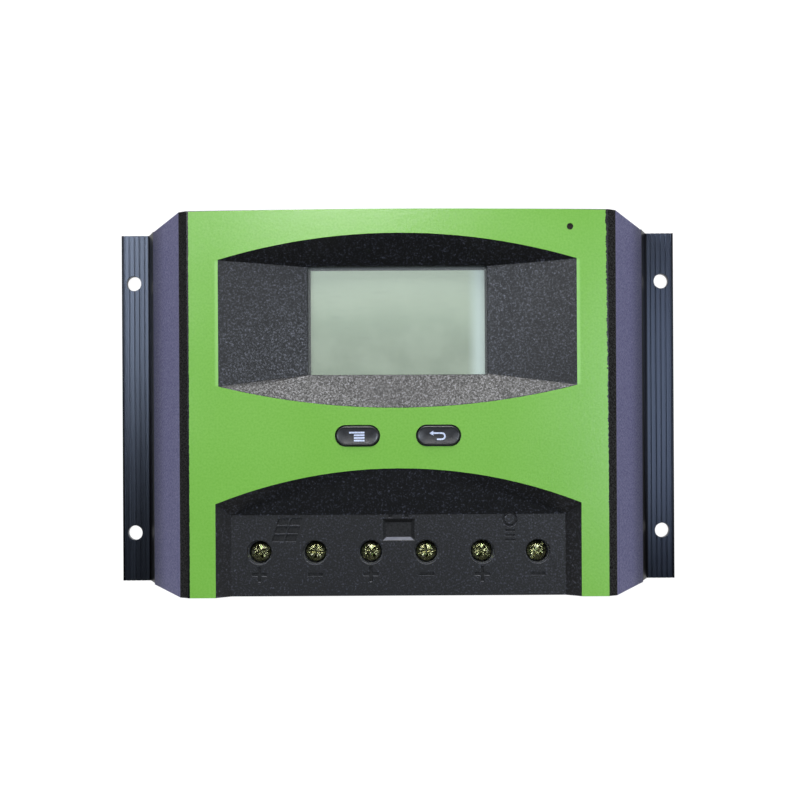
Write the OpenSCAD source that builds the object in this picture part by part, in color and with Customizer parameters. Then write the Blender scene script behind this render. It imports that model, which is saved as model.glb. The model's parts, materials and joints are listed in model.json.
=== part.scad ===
// Charge controller for a solar panel, a battery and a lamp load.
// It lies on its back: z = 0 is the wall side, +Y is the top of the device and +Z points out of the
// display. The origin is the centre of the back plane.

/* [Body] */
// Height of the cover along Y
body_h = 120; // [118:0.5:124]
// Depth from the wall to the painted front
body_d = 50; // [50:0.5:54]
// Width of the flat painted front
face_w = 130; // [128:0.2:131]
// Lean of the sides from upright, in degrees
side_lean = 22; // [22:0.1:23]
// Width of the bevelled shoulders between the front and the sides
shoulder_w = 2.8; // [2:0.1:3.2]
// Height of the cover's foot above the wall
foot_z = 11; // [10.5:0.1:11.5]
// Wall thickness of the cover
wall = 2.2; // [1.8:0.1:2.4]
// How far the top edge bows outwards at its middle
top_bow = 0.7; // [0.2:0.1:1]
// Thickness of the paint on the front
paint_t = 0.2; // [0.1:0.05:0.3]

/* [Wall plate] */
// Width over the two flanges
plate_w = 190.4; // [188:0.2:196]
// Length of the extrusion along Y
plate_l = 119; // [116:0.5:120]
// Thickness of a flange
flange_t = 2.5; // [2:0.1:3]
// Distance between the wall holes along X
hole_span_x = 182; // [181:0.5:183]
// Distance between the wall holes along Y
hole_span_y = 86; // [80:1:92]
// Diameter of a wall hole
hole_d = 5; // [4:0.1:5.5]
// Number of cooling fins under the deck
fin_count = 13; // [9:2:13]

/* [Display] */
// Width of the display recess at the front
recess_w = 110.8; // [106:0.2:112]
// Height of the recess's upper corners
recess_top = 44.4; // [43.5:0.1:45]
// Height of the recess's lower corners
recess_bottom = 5.3; // [4.5:0.1:6]
// Rise of the arched upper edge at its middle
recess_top_rise = 8.1; // [6:0.1:9]
// Drop of the arched lower edge at its middle
recess_bottom_drop = 6.8; // [5:0.1:6.8]
// Depth of the display recess
recess_depth = 6; // [5:0.1:6]
// Width of the display window
window_w = 56.2; // [52:0.2:58]
// Height of the display window
window_h = 33.9; // [31:0.1:35]
// Height of the window's middle
window_y = 26; // [25:0.1:27]

/* [Buttons] */
// Length of an oval button
button_w = 13.2; // [12:0.1:14]
// Width of an oval button
button_h = 5.9; // [5:0.1:6.4]
// Distance between the two buttons
button_span = 25; // [22:0.5:28]
// Height of the buttons' middle
button_y = -10.1; // [-11:0.1:-9.5]
// How far a button stands out of the front
button_proud = 0.8; // [0.7:0.05:1]

/* [Terminals] */
// Distance between neighbouring terminals
terminal_pitch = 17.37; // [17:0.01:17.5]
// Height of the terminal screws' row
screw_y = -46.4; // [-46.6:0.1:-46.2]
// Diameter of a driver hole in the cover
driver_hole_d = 7.6; // [7.2:0.1:8]
// Diameter of a terminal screw's head
screw_head_d = 6.3; // [5.8:0.1:6.6]
// Diameter of a terminal screw's shank
screw_d = 4; // [3.5:0.1:4.2]
// Width of the terminal bay at the front
bay_w = 113; // [110:0.5:115]
// Height of the bay's upper corners
bay_top = -31; // [-32:0.1:-30]
// Rise of the bay's arched upper edge at its middle
bay_rise = 10.8; // [9:0.1:11]
// Width of the bay's floor
bay_floor_w = 104; // [103:0.5:106]
// Height of the floor's upper edge
bay_floor_top = -34.7; // [-35:0.1:-34.5]
// Depth of the bay
bay_depth = 4; // [3.8:0.1:4.2]
// Width of the space for a wire
wire_w = 7.6; // [7:0.1:7.8]
// Height of the space for a wire with the cage down
wire_h = 6; // [5.8:0.1:6.2]

/* [Hidden] */

// General
eps = 0.01;
cut = 1;
$fn = 48;
arc_steps = 24;
terminals = [0:5];

// Cover outline
cover_z = body_d - paint_t;
face_x = face_w / 2;
shoulder_x = face_x + shoulder_w;
shoulder_fall = 0.66;
shoulder_z = cover_z - shoulder_fall * shoulder_w;
side_slope = tan(side_lean);
foot_x = shoulder_x + (shoulder_z - foot_z) * side_slope;
side_wall = wall * sqrt(1 + side_slope * side_slope);
inner_z = cover_z - wall;
inner_y = body_h / 2 - wall;
top_corner_r = 1.5;
bottom_corner_r = 0.6;

// Cover bosses and screws
boss_d = 7;
boss_x = 70;
boss_y = 51.5;
boss_top = 40;
cover_screw_d = 2.9;
cover_pilot_d = 3;
cover_pilot_top = 24;
cover_screw_top = 22;
cover_head_d = 6;
cover_head_h = 2.2;
clear_d = 3.4;
pan_slot_w = 0.8;
pan_slot_h = 0.8;

// Wall plate
deck_t = 3.5;
deck_z = foot_z - deck_t;
leg_x = 85.7;
leg_t = 2.9;
fin_t = 1.6;
fin_pitch = 10;
fin_z = 0.4;
groove_count = 5;
groove_pitch = 1.75;
groove_w = 0.4;
groove_d = 0.2;
groove_x = 87;

// Display recess and stack
window_z = cover_z - recess_depth;
lip_t = 1.2;
lip_margin = 2;
recess_wall = 1.8;
lens_t = 1;
lens_w = window_w + 3;
lens_h = window_h + 3;
lens_z = window_z - lip_t - lens_t;
glass_t = 2.6;
glass_w = 66;
glass_h = 42;
glass_gap = 0.2;
glass_z = lens_z - glass_gap - glass_t;
polariser_t = 0.2;
backlight_w = 62;
backlight_h = 36;
board_t = 1.6;
display_board_w = 86;
display_board_bottom = -18;
display_board_top = 50;
display_board_z = 33.6;
display_face_z = display_board_z + board_t;
holder_w = 71;
holder_h = 47;
holder_t = 1.6;
holder_rib = 2;
display_boss_x = 39.5;
display_boss_top = 46.5;
display_boss_bottom = -14;
display_boss_d = 6;
display_pilot_d = 2.5;
display_pilot_top = 41.5;
display_screw_d = 2.4;
display_screw_top = 41;
display_head_d = 4.6;
display_head_h = 1.8;
lcd_pin_count = 20;
lcd_pin_pitch = 2.54;
lcd_pin_w = 0.5;
lcd_pin_t = 0.3;
lcd_pin_y = window_y + 19.6;

// Buttons
button_gap = 0.4;
button_top = body_d + button_proud;
button_foot_z = inner_z - 2.4;
rim_w = 1.1;
rim_t = 1;
rim_z = inner_z - rim_t - 0.1;
dish_r = 40;
dish_depth = 0.35;
switch_w = 6;
switch_h = 3.5;
plunger_d = 3.5;
plunger_bore_d = 3.6;
plunger_foot = display_face_z + 1.9;
plunger_bore_foot = display_face_z + 1.1;

// Indicator
led_x = 53.4;
led_y = 54.2;
led_hole_d = 2;
pipe_d = 1.9;
pipe_top = cover_z - 0.3;
pipe_guide_d = 4.4;
pipe_guide_z = 40;
led_w = 3;
led_h = 1.9;

// Main board
main_board_w = 144;
main_board_h = 112;
main_board_z = 17;
main_face_z = main_board_z + board_t;
notch_x = 65;
notch_y = 46.5;
spacer_af = 5.5;
spacer_bore_d = 3.2;
spacer_spots = [[-66, 38], [66, 38], [-66, -38], [66, -38], [0, 42], [0, -28]];
m3_d = 3;
m3_hole_d = 3.1;
m3_head_d = 5.5;
m3_head_h = 2;
m3_foot_z = deck_z + 0.8;
header_y = 20;
header_pins = 8;
header_pitch = 2.54;
header_pin_w = 0.64;
header_body_h = 2.5;
socket_h = 8.5;

// Terminals
terminal_x0 = -2.5 * terminal_pitch;
bay_floor_z = cover_z - bay_depth;
bay_plate_t = 2.2;
bay_wall = 2;
block_gap = 0.2;
block_top = bay_floor_z - bay_plate_t - block_gap;
block_w = 106;
block_front = -inner_y + block_gap;
block_back = -37.4;
head_h = 2.1;
head_top = bay_floor_z - 3.5;
head_z = head_top - head_h;
shelf_t = 0.8;
well_d = 7;
shank_hole_d = screw_d + 0.6;
pocket_top = head_z - shelf_t;
cage_travel = 5.6;
cage_gap = 0.3;
cage_w = 10.4;
cage_l = 10;
nut_t = 2.6;
nut_bore_d = screw_d + 0.1;
cage_top = pocket_top - 0.1 - cage_travel;
bar_t = 1.5;
bar_gap = 0.2;
bar_w = 7;
bar_top = cage_top - nut_t - bar_gap;
bar_z = bar_top - bar_t;
bar_front = screw_y - 5;
bar_back = screw_y + 7;
bar_slot = 0.3;
cage_floor_z = bar_z - wire_h;
cage_floor_t = 1.4;
cage_z = cage_floor_z - cage_floor_t;
pocket_z = cage_z - 0.4;
entry_margin = 0.5;
cross_l = 4.2;
cross_w = 0.9;
cross_depth = 1.3;
slot_w = 0.8;
slot_depth = 0.7;

// Engraved marks on the bay's floor
mark_y = -53.3;
mark_l = 4.7;
mark_w = 1;
mark_depth = 0.5;
icon_x = 2 * terminal_pitch;
icon_y = -39.4;
panel_w = 7.4;
panel_h = 7.2;
panel_skew = 2;
panel_rib = 0.5;
battery_w = 10.2;
battery_h = 6.8;
battery_in_w = 7.8;
battery_in_h = 4.6;
battery_depth = 0.8;
post_w = 1.1;
post_h = 0.7;
post_x = 2.6;
bulb_d = 4.6;
bulb_core_d = 3.2;
bulb_y = -36.4;
bulb_base_w = 3;
bulb_line_h = 0.6;
bulb_line_gap = 1.5;
bulb_line_y = bulb_y - bulb_d / 2 - bulb_line_gap + 0.4;

// Power stage
mosfet_pitch = 20;
mosfet_w = 10;
mosfet_y = 4;
mosfet_body_l = 9.2;
mosfet_body_h = 4.5;
tab_l = 6.5;
tab_t = 1.3;
pad_t = 0.25;
pad_w = 12;
pad_l = 18;
lead_pitch = 2.54;
lead_w = 0.8;
lead_t = 0.5;
lead_l = 4;
lead_z = foot_z + pad_t + 2.4;
tab_hole_d = 3.6;
tab_screw_y = mosfet_y + mosfet_body_l / 2 + tab_l / 2;

// Parts on the main board
cap_d = 16;
cap_h = 20;
cap_spots = [[-54, 12], [54, 12], [-54, -12], [54, -12]];
cap_groove_z = 2.5;
cap_groove_d = 0.8;
shunt_d = 1.6;
shunt_l = 14;
shunt_h = 6;
shunt_y = -24;
shunt_spots = [18, 24, 30];
chip_w = 5;
chip_l = 4;
chip_h = 1.5;
chip_x = -22;
chip_spots = [-22, -8, 6];
chip_lead_l = 1;
chip_lead_w = 0.4;
chip_lead_pitch = 1.27;
diode_d = 5.3;
diode_l = 9.5;
diode_lead_d = 1.2;
diode_spots = [[-40, -30], [40, 32]];
inductor_d = 10;
inductor_h = 8;
inductor_core_d = 5.5;
inductor_rim = 1.4;
inductor_x = 24;
inductor_y = 34;
qfp_w = 9;
qfp_h = 1.4;
qfp_x = 22;
qfp_y = 8;
sensor_w = 4.6;
sensor_l = 3.6;
sensor_h = 4.5;
sensor_y = -16;

// ---------------------------------------------------------------- shared shapes

// Points of a shallow arc from (-half, y) over (0, y + rise) to (half, y)
function arc_radius(half, rise) = (half * half + rise * rise) / (2 * abs(rise));
function arc_y(x, half, y, rise) =
    y + rise - sign(rise) * (arc_radius(half, rise) - sqrt(pow(arc_radius(half, rise), 2) - x * x));
function arc_points(half, y, rise) = [
    for (i = [0:arc_steps])
        let (x = -half + 2 * half * i / arc_steps)
            [x, arc_y(x, half, y, rise)]
];
function reversed(points) = [for (i = [len(points) - 1:-1:0]) points[i]];

// Closed outline from its right half, listed from the foot up
function mirrored(half) = concat(half, [for (point = reversed(half)) [-point[0], point[1]]]);
function terminal_x(i) = terminal_x0 + i * terminal_pitch;
function mosfet_x(i) = (i - 2.5) * mosfet_pitch;

// Both sides of the part, left and right
module both_sides() {
    children();
    mirror([1, 0, 0])
        children();
}

// Extrudes an X-Z profile along Y, centred
module along_y(length) {
    rotate([90, 0, 0])
        linear_extrude(length, center = true)
            children();
}

// Box centred in X and Y that starts at z
module block(size, at = [0, 0], z = 0) {
    translate([at[0] - size[0] / 2, at[1] - size[1] / 2, z])
        cube(size);
}

// Upright cylinder from z up to top
module rod(d, at, z, top) {
    translate([at[0], at[1], z])
        cylinder(d = d, h = top - z);
}

// Oval with straight sides
module stadium(w, h) {
    square([w - h, h], center = true);
    both_sides()
        translate([(w - h) / 2, 0])
            circle(d = h);
}

// Pan head screw that points up, with its head below z and a slot in the head
module pan_screw_up(d, head_d, head_h, at, z, top) {
    difference() {
        union() {
            rod(head_d, at, z - head_h, z);
            rod(d, at, z - eps, top);
        }
        block([head_d + cut, pan_slot_w, pan_slot_h + cut], at, z - head_h - cut);
    }
}

// Pan head screw that points down, with its head above z and a slot in the head
module pan_screw_down(d, head_d, head_h, at, z, foot) {
    difference() {
        union() {
            rod(head_d, at, z, z + head_h);
            rod(d, at, foot, z + eps);
        }
        block([head_d + cut, pan_slot_w, pan_slot_h + cut], at, z + head_h - pan_slot_h);
    }
}

// Outline of the painted front, with its bowed top
module face_outline(half = face_x) {
    polygon(concat(
        [[half, -body_h / 2], [-half, -body_h / 2]],
        arc_points(half, body_h / 2 - top_bow, top_bow)
    ));
}

// Outline of the display recess: straight sides, arched top and bottom
module recess_outline() {
    polygon(concat(
        arc_points(recess_w / 2, recess_top, recess_top_rise),
        reversed(arc_points(recess_w / 2, recess_bottom, -recess_bottom_drop))
    ));
}

// Outline of the terminal bay, from the arched top down to y = foot
module bay_outline(foot) {
    polygon(concat(
        arc_points(bay_w / 2, bay_top, bay_rise),
        [[bay_w / 2, foot], [-bay_w / 2, foot]]
    ));
}

// The two button openings or anything of their outline
module at_buttons() {
    both_sides()
        translate([button_span / 2, button_y])
            children();
}

// ---------------------------------------------------------------- wall plate

module plate_profile() {
    leg_slope = (leg_x - foot_x) / (foot_z - flange_t);
    leg_in_top = foot_x + deck_t * leg_slope - leg_t;
    leg_in_foot = leg_in_top + deck_z * leg_slope;
    difference() {
        polygon(mirrored([
            [leg_in_top, deck_z], [leg_in_foot, 0], [plate_w / 2, 0],
            [plate_w / 2, flange_t], [leg_x, flange_t], [foot_x, foot_z]
        ]));
        both_sides()
            for (i = [0:groove_count - 1])
                translate([groove_x + i * groove_pitch, flange_t - groove_d])
                    square([groove_w, cut]);
    }
    for (i = [0:fin_count - 1])
        translate([(i - (fin_count - 1) / 2) * fin_pitch - fin_t / 2, fin_z])
            square([fin_t, deck_z - fin_z + cut]);
}

module heatsink_base() {
    color("#4c5668")
        difference() {
            along_y(plate_l)
                plate_profile();
            for (x = [-1, 1], y = [-1, 1])
                rod(hole_d, [x * hole_span_x / 2, y * hole_span_y / 2], -cut, foot_z);
            for (x = [-1, 1], y = [-1, 1])
                rod(clear_d, [x * boss_x, y * boss_y], 0, foot_z + cut);
            for (spot = spacer_spots)
                rod(m3_hole_d, spot, m3_foot_z - 0.2, foot_z + cut);
            for (i = terminals)
                rod(m3_hole_d, [mosfet_x(i), tab_screw_y], m3_foot_z - 0.2, foot_z + cut);
        }
}

module cover_screws() {
    color("silver")
        for (x = [-1, 1], y = [-1, 1])
            pan_screw_up(cover_screw_d, cover_head_d, cover_head_h,
                         [x * boss_x, y * boss_y], deck_z, cover_screw_top);
}

// ---------------------------------------------------------------- cover

// Outer X-Z profile of the cover
module cover_profile() {
    polygon(mirrored([[foot_x, foot_z], [shoulder_x, shoulder_z], [face_x, cover_z]]));
}

// Outer Y-Z profile, with rounded corners at the foot
module cover_side_profile() {
    half = body_h / 2;
    translate([-half, foot_z + top_corner_r])
        square([body_h, cover_z]);
    translate([-half + bottom_corner_r, foot_z])
        square([body_h - top_corner_r - bottom_corner_r, top_corner_r + cut]);
    translate([-half, foot_z + bottom_corner_r])
        square([top_corner_r, top_corner_r]);
    translate([-half + bottom_corner_r, foot_z + bottom_corner_r])
        circle(r = bottom_corner_r);
    translate([half - top_corner_r, foot_z + top_corner_r])
        circle(r = top_corner_r);
}

module cover_body() {
    intersection() {
        along_y(body_h + cut)
            cover_profile();
        rotate([90, 0, 90])
            linear_extrude(2 * foot_x + cut, center = true)
                cover_side_profile();
        linear_extrude(body_d)
            face_outline(foot_x);
    }
}

module cover_cavity() {
    in_foot = foot_x - side_wall + cut * side_slope;
    in_top = foot_x - side_wall - (inner_z - foot_z) * side_slope;
    along_y(2 * inner_y)
        polygon(mirrored([[in_foot, foot_z - cut], [in_top, inner_z]]));
}

// Funnel of the display recess
module recess_void() {
    hull() {
        translate([0, 0, cover_z])
            linear_extrude(cut)
                recess_outline();
        block([window_w, window_h, eps], [0, window_y], window_z);
    }
    block([window_w, window_h, lip_t + cut], [0, window_y], window_z - lip_t - cut / 2);
}

module recess_shell() {
    hull() {
        translate([0, 0, cover_z - recess_wall])
            linear_extrude(recess_wall)
                recess_outline();
        block([window_w + 2 * lip_margin, window_h + 2 * lip_margin, eps], [0, window_y], window_z - lip_t);
    }
}

// Terminal bay, open at the foot of the cover
module bay_void() {
    foot = -body_h / 2 - cut;
    hull() {
        translate([0, 0, cover_z])
            linear_extrude(cut)
                bay_outline(foot);
        translate([-bay_floor_w / 2, foot, bay_floor_z])
            cube([bay_floor_w, bay_floor_top - foot, eps]);
    }
}

module bay_shell() {
    foot = -body_h / 2;
    floor_w = bay_floor_w + 2 * bay_wall;
    hull() {
        translate([0, 0, cover_z - bay_wall])
            linear_extrude(bay_wall)
                bay_outline(foot);
        translate([-floor_w / 2, foot, bay_floor_z - bay_plate_t])
            cube([floor_w, bay_floor_top + bay_wall - foot, eps]);
    }
}

// Plus and minus marks below the driver holes
module polarity_marks() {
    for (i = terminals) {
        block([mark_l, mark_w, cut], [terminal_x(i), mark_y], 0);
        if (i % 2 == 0)
            block([mark_w, mark_l, cut], [terminal_x(i), mark_y], 0);
    }
}

// Panel mark: six slanted cells
module panel_mark() {
    cell_w = (panel_w - panel_rib) / 2;
    cell_h = (panel_h - 2 * panel_rib) / 3;
    shear = panel_skew / panel_h;
    for (column = [0:1], row = [0:2]) {
        x = column * (cell_w + panel_rib) - (panel_w + panel_skew) / 2;
        y = row * (cell_h + panel_rib);
        translate([-icon_x, icon_y - panel_h / 2])
            linear_extrude(cut)
                polygon([
                    [x + y * shear, y], [x + cell_w + y * shear, y],
                    [x + cell_w + (y + cell_h) * shear, y + cell_h], [x + (y + cell_h) * shear, y + cell_h]
                ]);
    }
}

// Battery mark: a sunk frame with sloping sides and two posts
module battery_mark() {
    hull() {
        block([battery_w, battery_h, cut], [0, icon_y], mark_depth);
        block([battery_in_w, battery_in_h, eps], [0, icon_y], mark_depth - battery_depth);
    }
    both_sides()
        block([post_w, post_h, cut], [post_x, icon_y + battery_h / 2 + post_h], 0);
}

// Lamp mark: a globe over three short lines
module bulb_mark() {
    translate([icon_x, bulb_y])
        difference() {
            cylinder(d = bulb_d, h = cut);
            translate([0, 0, -cut])
                cylinder(d = bulb_core_d, h = 3 * cut);
        }
    for (i = [0:2])
        block([bulb_base_w, bulb_line_h, cut], [icon_x, bulb_line_y - i * bulb_line_gap], 0);
}

module cover_bosses() {
    for (x = [-1, 1], y = [-1, 1])
        rod(boss_d, [x * boss_x, y * boss_y], foot_z, boss_top);
    for (x = [-1, 1], y = [display_boss_top, display_boss_bottom])
        rod(display_boss_d, [x * display_boss_x, y], display_face_z, cover_z - eps);
    rod(pipe_guide_d, [led_x, led_y], pipe_guide_z, cover_z - eps);
}

module cover_holes() {
    for (x = [-1, 1], y = [-1, 1])
        rod(cover_pilot_d, [x * boss_x, y * boss_y], foot_z - cut, cover_pilot_top);
    for (x = [-1, 1], y = [display_boss_top, display_boss_bottom])
        rod(display_pilot_d, [x * display_boss_x, y], display_face_z - cut, display_pilot_top);
    rod(led_hole_d, [led_x, led_y], pipe_guide_z - cut, body_d + cut);
    for (i = terminals) {
        rod(driver_hole_d, [terminal_x(i), screw_y], block_top, cover_z);
        translate([terminal_x(i) - wire_w / 2 - entry_margin, -body_h / 2 - cut, cage_floor_z - entry_margin])
            cube([wire_w + 2 * entry_margin, wall + 2 * cut, wire_h + 2 * entry_margin]);
    }
    translate([0, 0, inner_z - cut])
        linear_extrude(wall + 2 * cut)
            at_buttons()
                stadium(button_w + 2 * button_gap, button_h + 2 * button_gap);
}

module front_cover() {
    color("#2b2c30")
        difference() {
            intersection() {
                union() {
                    difference() {
                        cover_body();
                        cover_cavity();
                    }
                    recess_shell();
                    bay_shell();
                    cover_bosses();
                }
                cover_body();
            }
            recess_void();
            bay_void();
            cover_holes();
            translate([0, 0, bay_floor_z - mark_depth]) {
                polarity_marks();
                panel_mark();
                battery_mark();
                bulb_mark();
            }
        }
}

// Green coat on the flat front
module face_paint() {
    color("#80c058")
        translate([0, 0, cover_z])
            linear_extrude(paint_t)
                difference() {
                    face_outline();
                    recess_outline();
                    bay_outline(-body_h / 2 - cut);
                    at_buttons()
                        stadium(button_w + 2 * button_gap, button_h + 2 * button_gap);
                    translate([led_x, led_y])
                        circle(d = led_hole_d);
                }
}

// ---------------------------------------------------------------- display

module lcd_window() {
    color("#e8f0f0", 0.4)
        block([lens_w, lens_h, lens_t], [0, window_y], lens_z);
}

module lcd_glass() {
    color("#a8b8a2") {
        block([glass_w, glass_h, glass_t - polariser_t], [0, window_y], glass_z);
        block([glass_w - 3, glass_h - 5, polariser_t + eps], [0, window_y], glass_z + glass_t - polariser_t - eps);
    }
}

module lcd_backlight() {
    color("white")
        block([backlight_w, backlight_h, glass_z - display_face_z], [0, window_y], display_face_z);
}

// Frame that carries the display glass on the board
module lcd_holder() {
    inner_w = holder_w - 2 * holder_t;
    inner_h = holder_h - 2 * holder_t;
    color("#202022")
        difference() {
            block([holder_w, holder_h, glass_z + glass_t - display_face_z], [0, window_y], display_face_z);
            block([inner_w, inner_h, glass_t + cut], [0, window_y], glass_z);
            block([inner_w - 2 * holder_rib, inner_h - 2 * holder_rib, body_d], [0, window_y], 0);
            block([lcd_pin_count * lcd_pin_pitch, 2 * holder_rib, body_d], [0, lcd_pin_y], 0);
        }
}

module lcd_pins() {
    color("silver")
        for (i = [0:lcd_pin_count - 1])
            block([lcd_pin_w, lcd_pin_t, glass_z - display_face_z],
                  [(i - (lcd_pin_count - 1) / 2) * lcd_pin_pitch, lcd_pin_y], display_face_z);
}

module display_board() {
    board_h = display_board_top - display_board_bottom;
    color("#1d6b3a")
        difference() {
            block([display_board_w, board_h, board_t],
                  [0, (display_board_top + display_board_bottom) / 2], display_board_z);
            for (x = [-1, 1], y = [display_boss_top, display_boss_bottom])
                rod(display_pilot_d, [x * display_boss_x, y], display_board_z - cut, display_face_z + cut);
        }
}

module display_board_screws() {
    color("silver")
        for (x = [-1, 1], y = [display_boss_top, display_boss_bottom])
            pan_screw_up(display_screw_d, display_head_d, display_head_h,
                         [x * display_boss_x, y], display_board_z, display_screw_top);
}

module control_chip() {
    color("#26262a")
        block([qfp_w, qfp_w, qfp_h], [qfp_x, qfp_y], display_board_z - qfp_h);
}

// ---------------------------------------------------------------- buttons

// Oval cap with a dished top, a rim that holds it in the cover and a foot on the plunger
module button_cap(x) {
    color("#3a3b3f")
        translate([x, button_y, 0])
            difference() {
                union() {
                    translate([0, 0, button_foot_z])
                        linear_extrude(button_top - button_foot_z)
                            stadium(button_w, button_h);
                    translate([0, 0, rim_z])
                        linear_extrude(rim_t)
                            stadium(button_w + 2 * rim_w, button_h + 2 * rim_w);
                }
                translate([0, 0, button_top + dish_r - dish_depth])
                    rotate([0, 90, 0])
                        cylinder(r = dish_r, h = button_w + cut, center = true, $fn = 360);
            }
}

module button_plunger(x) {
    color("#26262a")
        rod(plunger_d, [x, button_y], plunger_foot, button_foot_z);
}

module button_switch(x) {
    color("#4a4a50")
        difference() {
            block([switch_w, switch_w, switch_h], [x, button_y], display_face_z);
            rod(plunger_bore_d, [x, button_y], plunger_bore_foot, display_face_z + switch_h + cut);
        }
}

module menu_button() {
    button_cap(-button_span / 2);
}

module menu_plunger() {
    button_plunger(-button_span / 2);
}

module menu_switch() {
    button_switch(-button_span / 2);
}

module return_button() {
    button_cap(button_span / 2);
}

module return_plunger() {
    button_plunger(button_span / 2);
}

module return_switch() {
    button_switch(button_span / 2);
}

// ---------------------------------------------------------------- indicator

module light_pipe() {
    color("#d8dce0", 0.6)
        rod(pipe_d, [led_x, led_y], main_face_z + led_h, pipe_top);
}

module status_led() {
    color("#f4f0d8")
        block([led_w, led_w / 2, led_h], [led_x, led_y], main_face_z);
}

// ---------------------------------------------------------------- main board

module main_board() {
    color("#1d6b3a")
        difference() {
            block([main_board_w, main_board_h, board_t], [0, 0], main_board_z);
            both_sides()
                for (y = [-1, 1])
                    translate([notch_x, (y > 0) ? notch_y : -notch_y - body_h, main_board_z - cut])
                        cube([body_h, body_h, board_t + 2 * cut]);
            for (spot = spacer_spots)
                rod(spacer_bore_d, spot, main_board_z - cut, main_face_z + cut);
            for (i = terminals)
                rod(m3_head_d + cut, [mosfet_x(i), tab_screw_y], main_board_z - cut, main_face_z + cut);
        }
}

module main_board_screws() {
    color("silver")
        for (spot = spacer_spots)
            pan_screw_down(m3_d, m3_head_d, m3_head_h, spot, main_face_z, m3_foot_z);
}

module board_spacers() {
    color("#c9a94f")
        for (spot = spacer_spots)
            difference() {
                translate([spot[0], spot[1], foot_z])
                    cylinder(d = spacer_af / cos(30), h = main_board_z - foot_z, $fn = 6);
                rod(spacer_bore_d, spot, foot_z - cut, main_board_z + cut);
            }
}

module board_header() {
    color("#303034") {
        block([header_pins * header_pitch, 2 * header_pitch, header_body_h], [0, header_y], main_face_z);
        for (i = [0:header_pins - 1], j = [-1, 1])
            block([header_pin_w, header_pin_w, display_board_z - socket_h - main_face_z],
                  [(i - (header_pins - 1) / 2) * header_pitch, header_y + j * header_pitch / 2], main_face_z);
    }
}

module board_socket() {
    color("#26262a")
        block([header_pins * header_pitch, 2 * header_pitch, socket_h], [0, header_y], display_board_z - socket_h);
}

// ---------------------------------------------------------------- terminals

module terminal_pocket(x) {
    pocket_w = cage_w + 2 * cage_gap;
    pocket_l = cage_l + 2 * cage_gap;
    slot = bar_w + 2 * bar_slot;
    block([pocket_w, pocket_l, pocket_top - pocket_z], [x, screw_y], pocket_z);
    rod(shank_hole_d, [x, screw_y], pocket_top - cut, head_z + cut);
    rod(well_d, [x, screw_y], head_z, block_top + cut);
    translate([x - wire_w / 2, block_front - cut, cage_floor_z])
        cube([wire_w, screw_y - block_front + cut, wire_h]);
    translate([x - slot / 2, screw_y, main_face_z - cut])
        cube([slot, bar_back - screw_y + bar_slot, bar_top + bar_slot - main_face_z + cut]);
}

module terminal_block() {
    color("#2e2f33")
        difference() {
            translate([-block_w / 2, block_front, main_face_z])
                cube([block_w, block_back - block_front, block_top - main_face_z]);
            for (i = terminals)
                terminal_pocket(terminal_x(i));
        }
}

// Flat current bars that the cages pull the wires up against
module terminal_busbars() {
    color("#c9a94f")
        for (i = terminals) {
            translate([terminal_x(i) - bar_w / 2, bar_front, bar_z])
                cube([bar_w, bar_back - bar_front, bar_t]);
            translate([terminal_x(i) - bar_w / 2, bar_back - bar_t, main_face_z])
                cube([bar_w, bar_t, bar_top - main_face_z]);
        }
}

// Captive screw with a combined cross and slot head
module terminal_screw(i) {
    at = [terminal_x(i), screw_y];
    color("#d8d2a0")
        difference() {
            union() {
                rod(screw_head_d, at, head_z, head_top);
                rod(screw_d, at, bar_top + 0.1, head_z + eps);
            }
            block([cross_l, cross_w, cross_depth + cut], at, head_top - cross_depth);
            block([cross_w, cross_l, cross_depth + cut], at, head_top - cross_depth);
            block([screw_head_d + cut, slot_w, slot_depth + cut], at, head_top - slot_depth);
        }
}

// Rising cage: the nut on top, the wire space below the current bar
module terminal_cage(i) {
    at = [terminal_x(i), screw_y];
    color("#c8c8c0")
        difference() {
            block([cage_w, cage_l, cage_top - cage_z], at, cage_z);
            block([wire_w, cage_l + cut, cage_top - nut_t - cage_floor_z], at, cage_floor_z);
            rod(nut_bore_d, at, cage_floor_z, cage_top + cut);
        }
}

// ---------------------------------------------------------------- power stage

module mosfets() {
    body_z = foot_z + pad_t;
    color("#26262a")
        for (i = terminals) {
            block([mosfet_w, mosfet_body_l, mosfet_body_h], [mosfet_x(i), mosfet_y], body_z);
            difference() {
                block([mosfet_w, tab_l + eps, tab_t], [mosfet_x(i), tab_screw_y - eps / 2], body_z);
                rod(tab_hole_d, [mosfet_x(i), tab_screw_y], body_z - cut, body_z + tab_t + cut);
            }
            for (j = [-1:1])
                translate([mosfet_x(i) + j * lead_pitch - lead_w / 2, mosfet_y - mosfet_body_l / 2 - lead_l, lead_z]) {
                    cube([lead_w, lead_l + eps, lead_t]);
                    cube([lead_w, lead_t, main_board_z - lead_z]);
                }
        }
}

module mosfet_insulators() {
    color("#b8bcc4")
        for (i = terminals)
            difference() {
                block([pad_w, pad_l, pad_t], [mosfet_x(i), mosfet_y + tab_l / 2], foot_z);
                rod(tab_hole_d, [mosfet_x(i), tab_screw_y], foot_z - cut, foot_z + pad_t + cut);
            }
}

module mosfet_screws() {
    color("silver")
        for (i = terminals)
            pan_screw_down(m3_d, m3_head_d, m3_head_h, [mosfet_x(i), tab_screw_y],
                           foot_z + pad_t + tab_t, m3_foot_z);
}

module temperature_sensor() {
    color("#26262a")
        block([sensor_w, sensor_l, sensor_h], [0, sensor_y], foot_z);
}

// ---------------------------------------------------------------- parts on the main board

module bulk_capacitors() {
    color("#1f2b4a")
        for (spot = cap_spots)
            translate([spot[0], spot[1], main_face_z])
                difference() {
                    cylinder(d = cap_d, h = cap_h);
                    translate([0, 0, cap_groove_z])
                        rotate_extrude()
                            translate([cap_d / 2, 0])
                                circle(r = cap_groove_d);
                }
}

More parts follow.
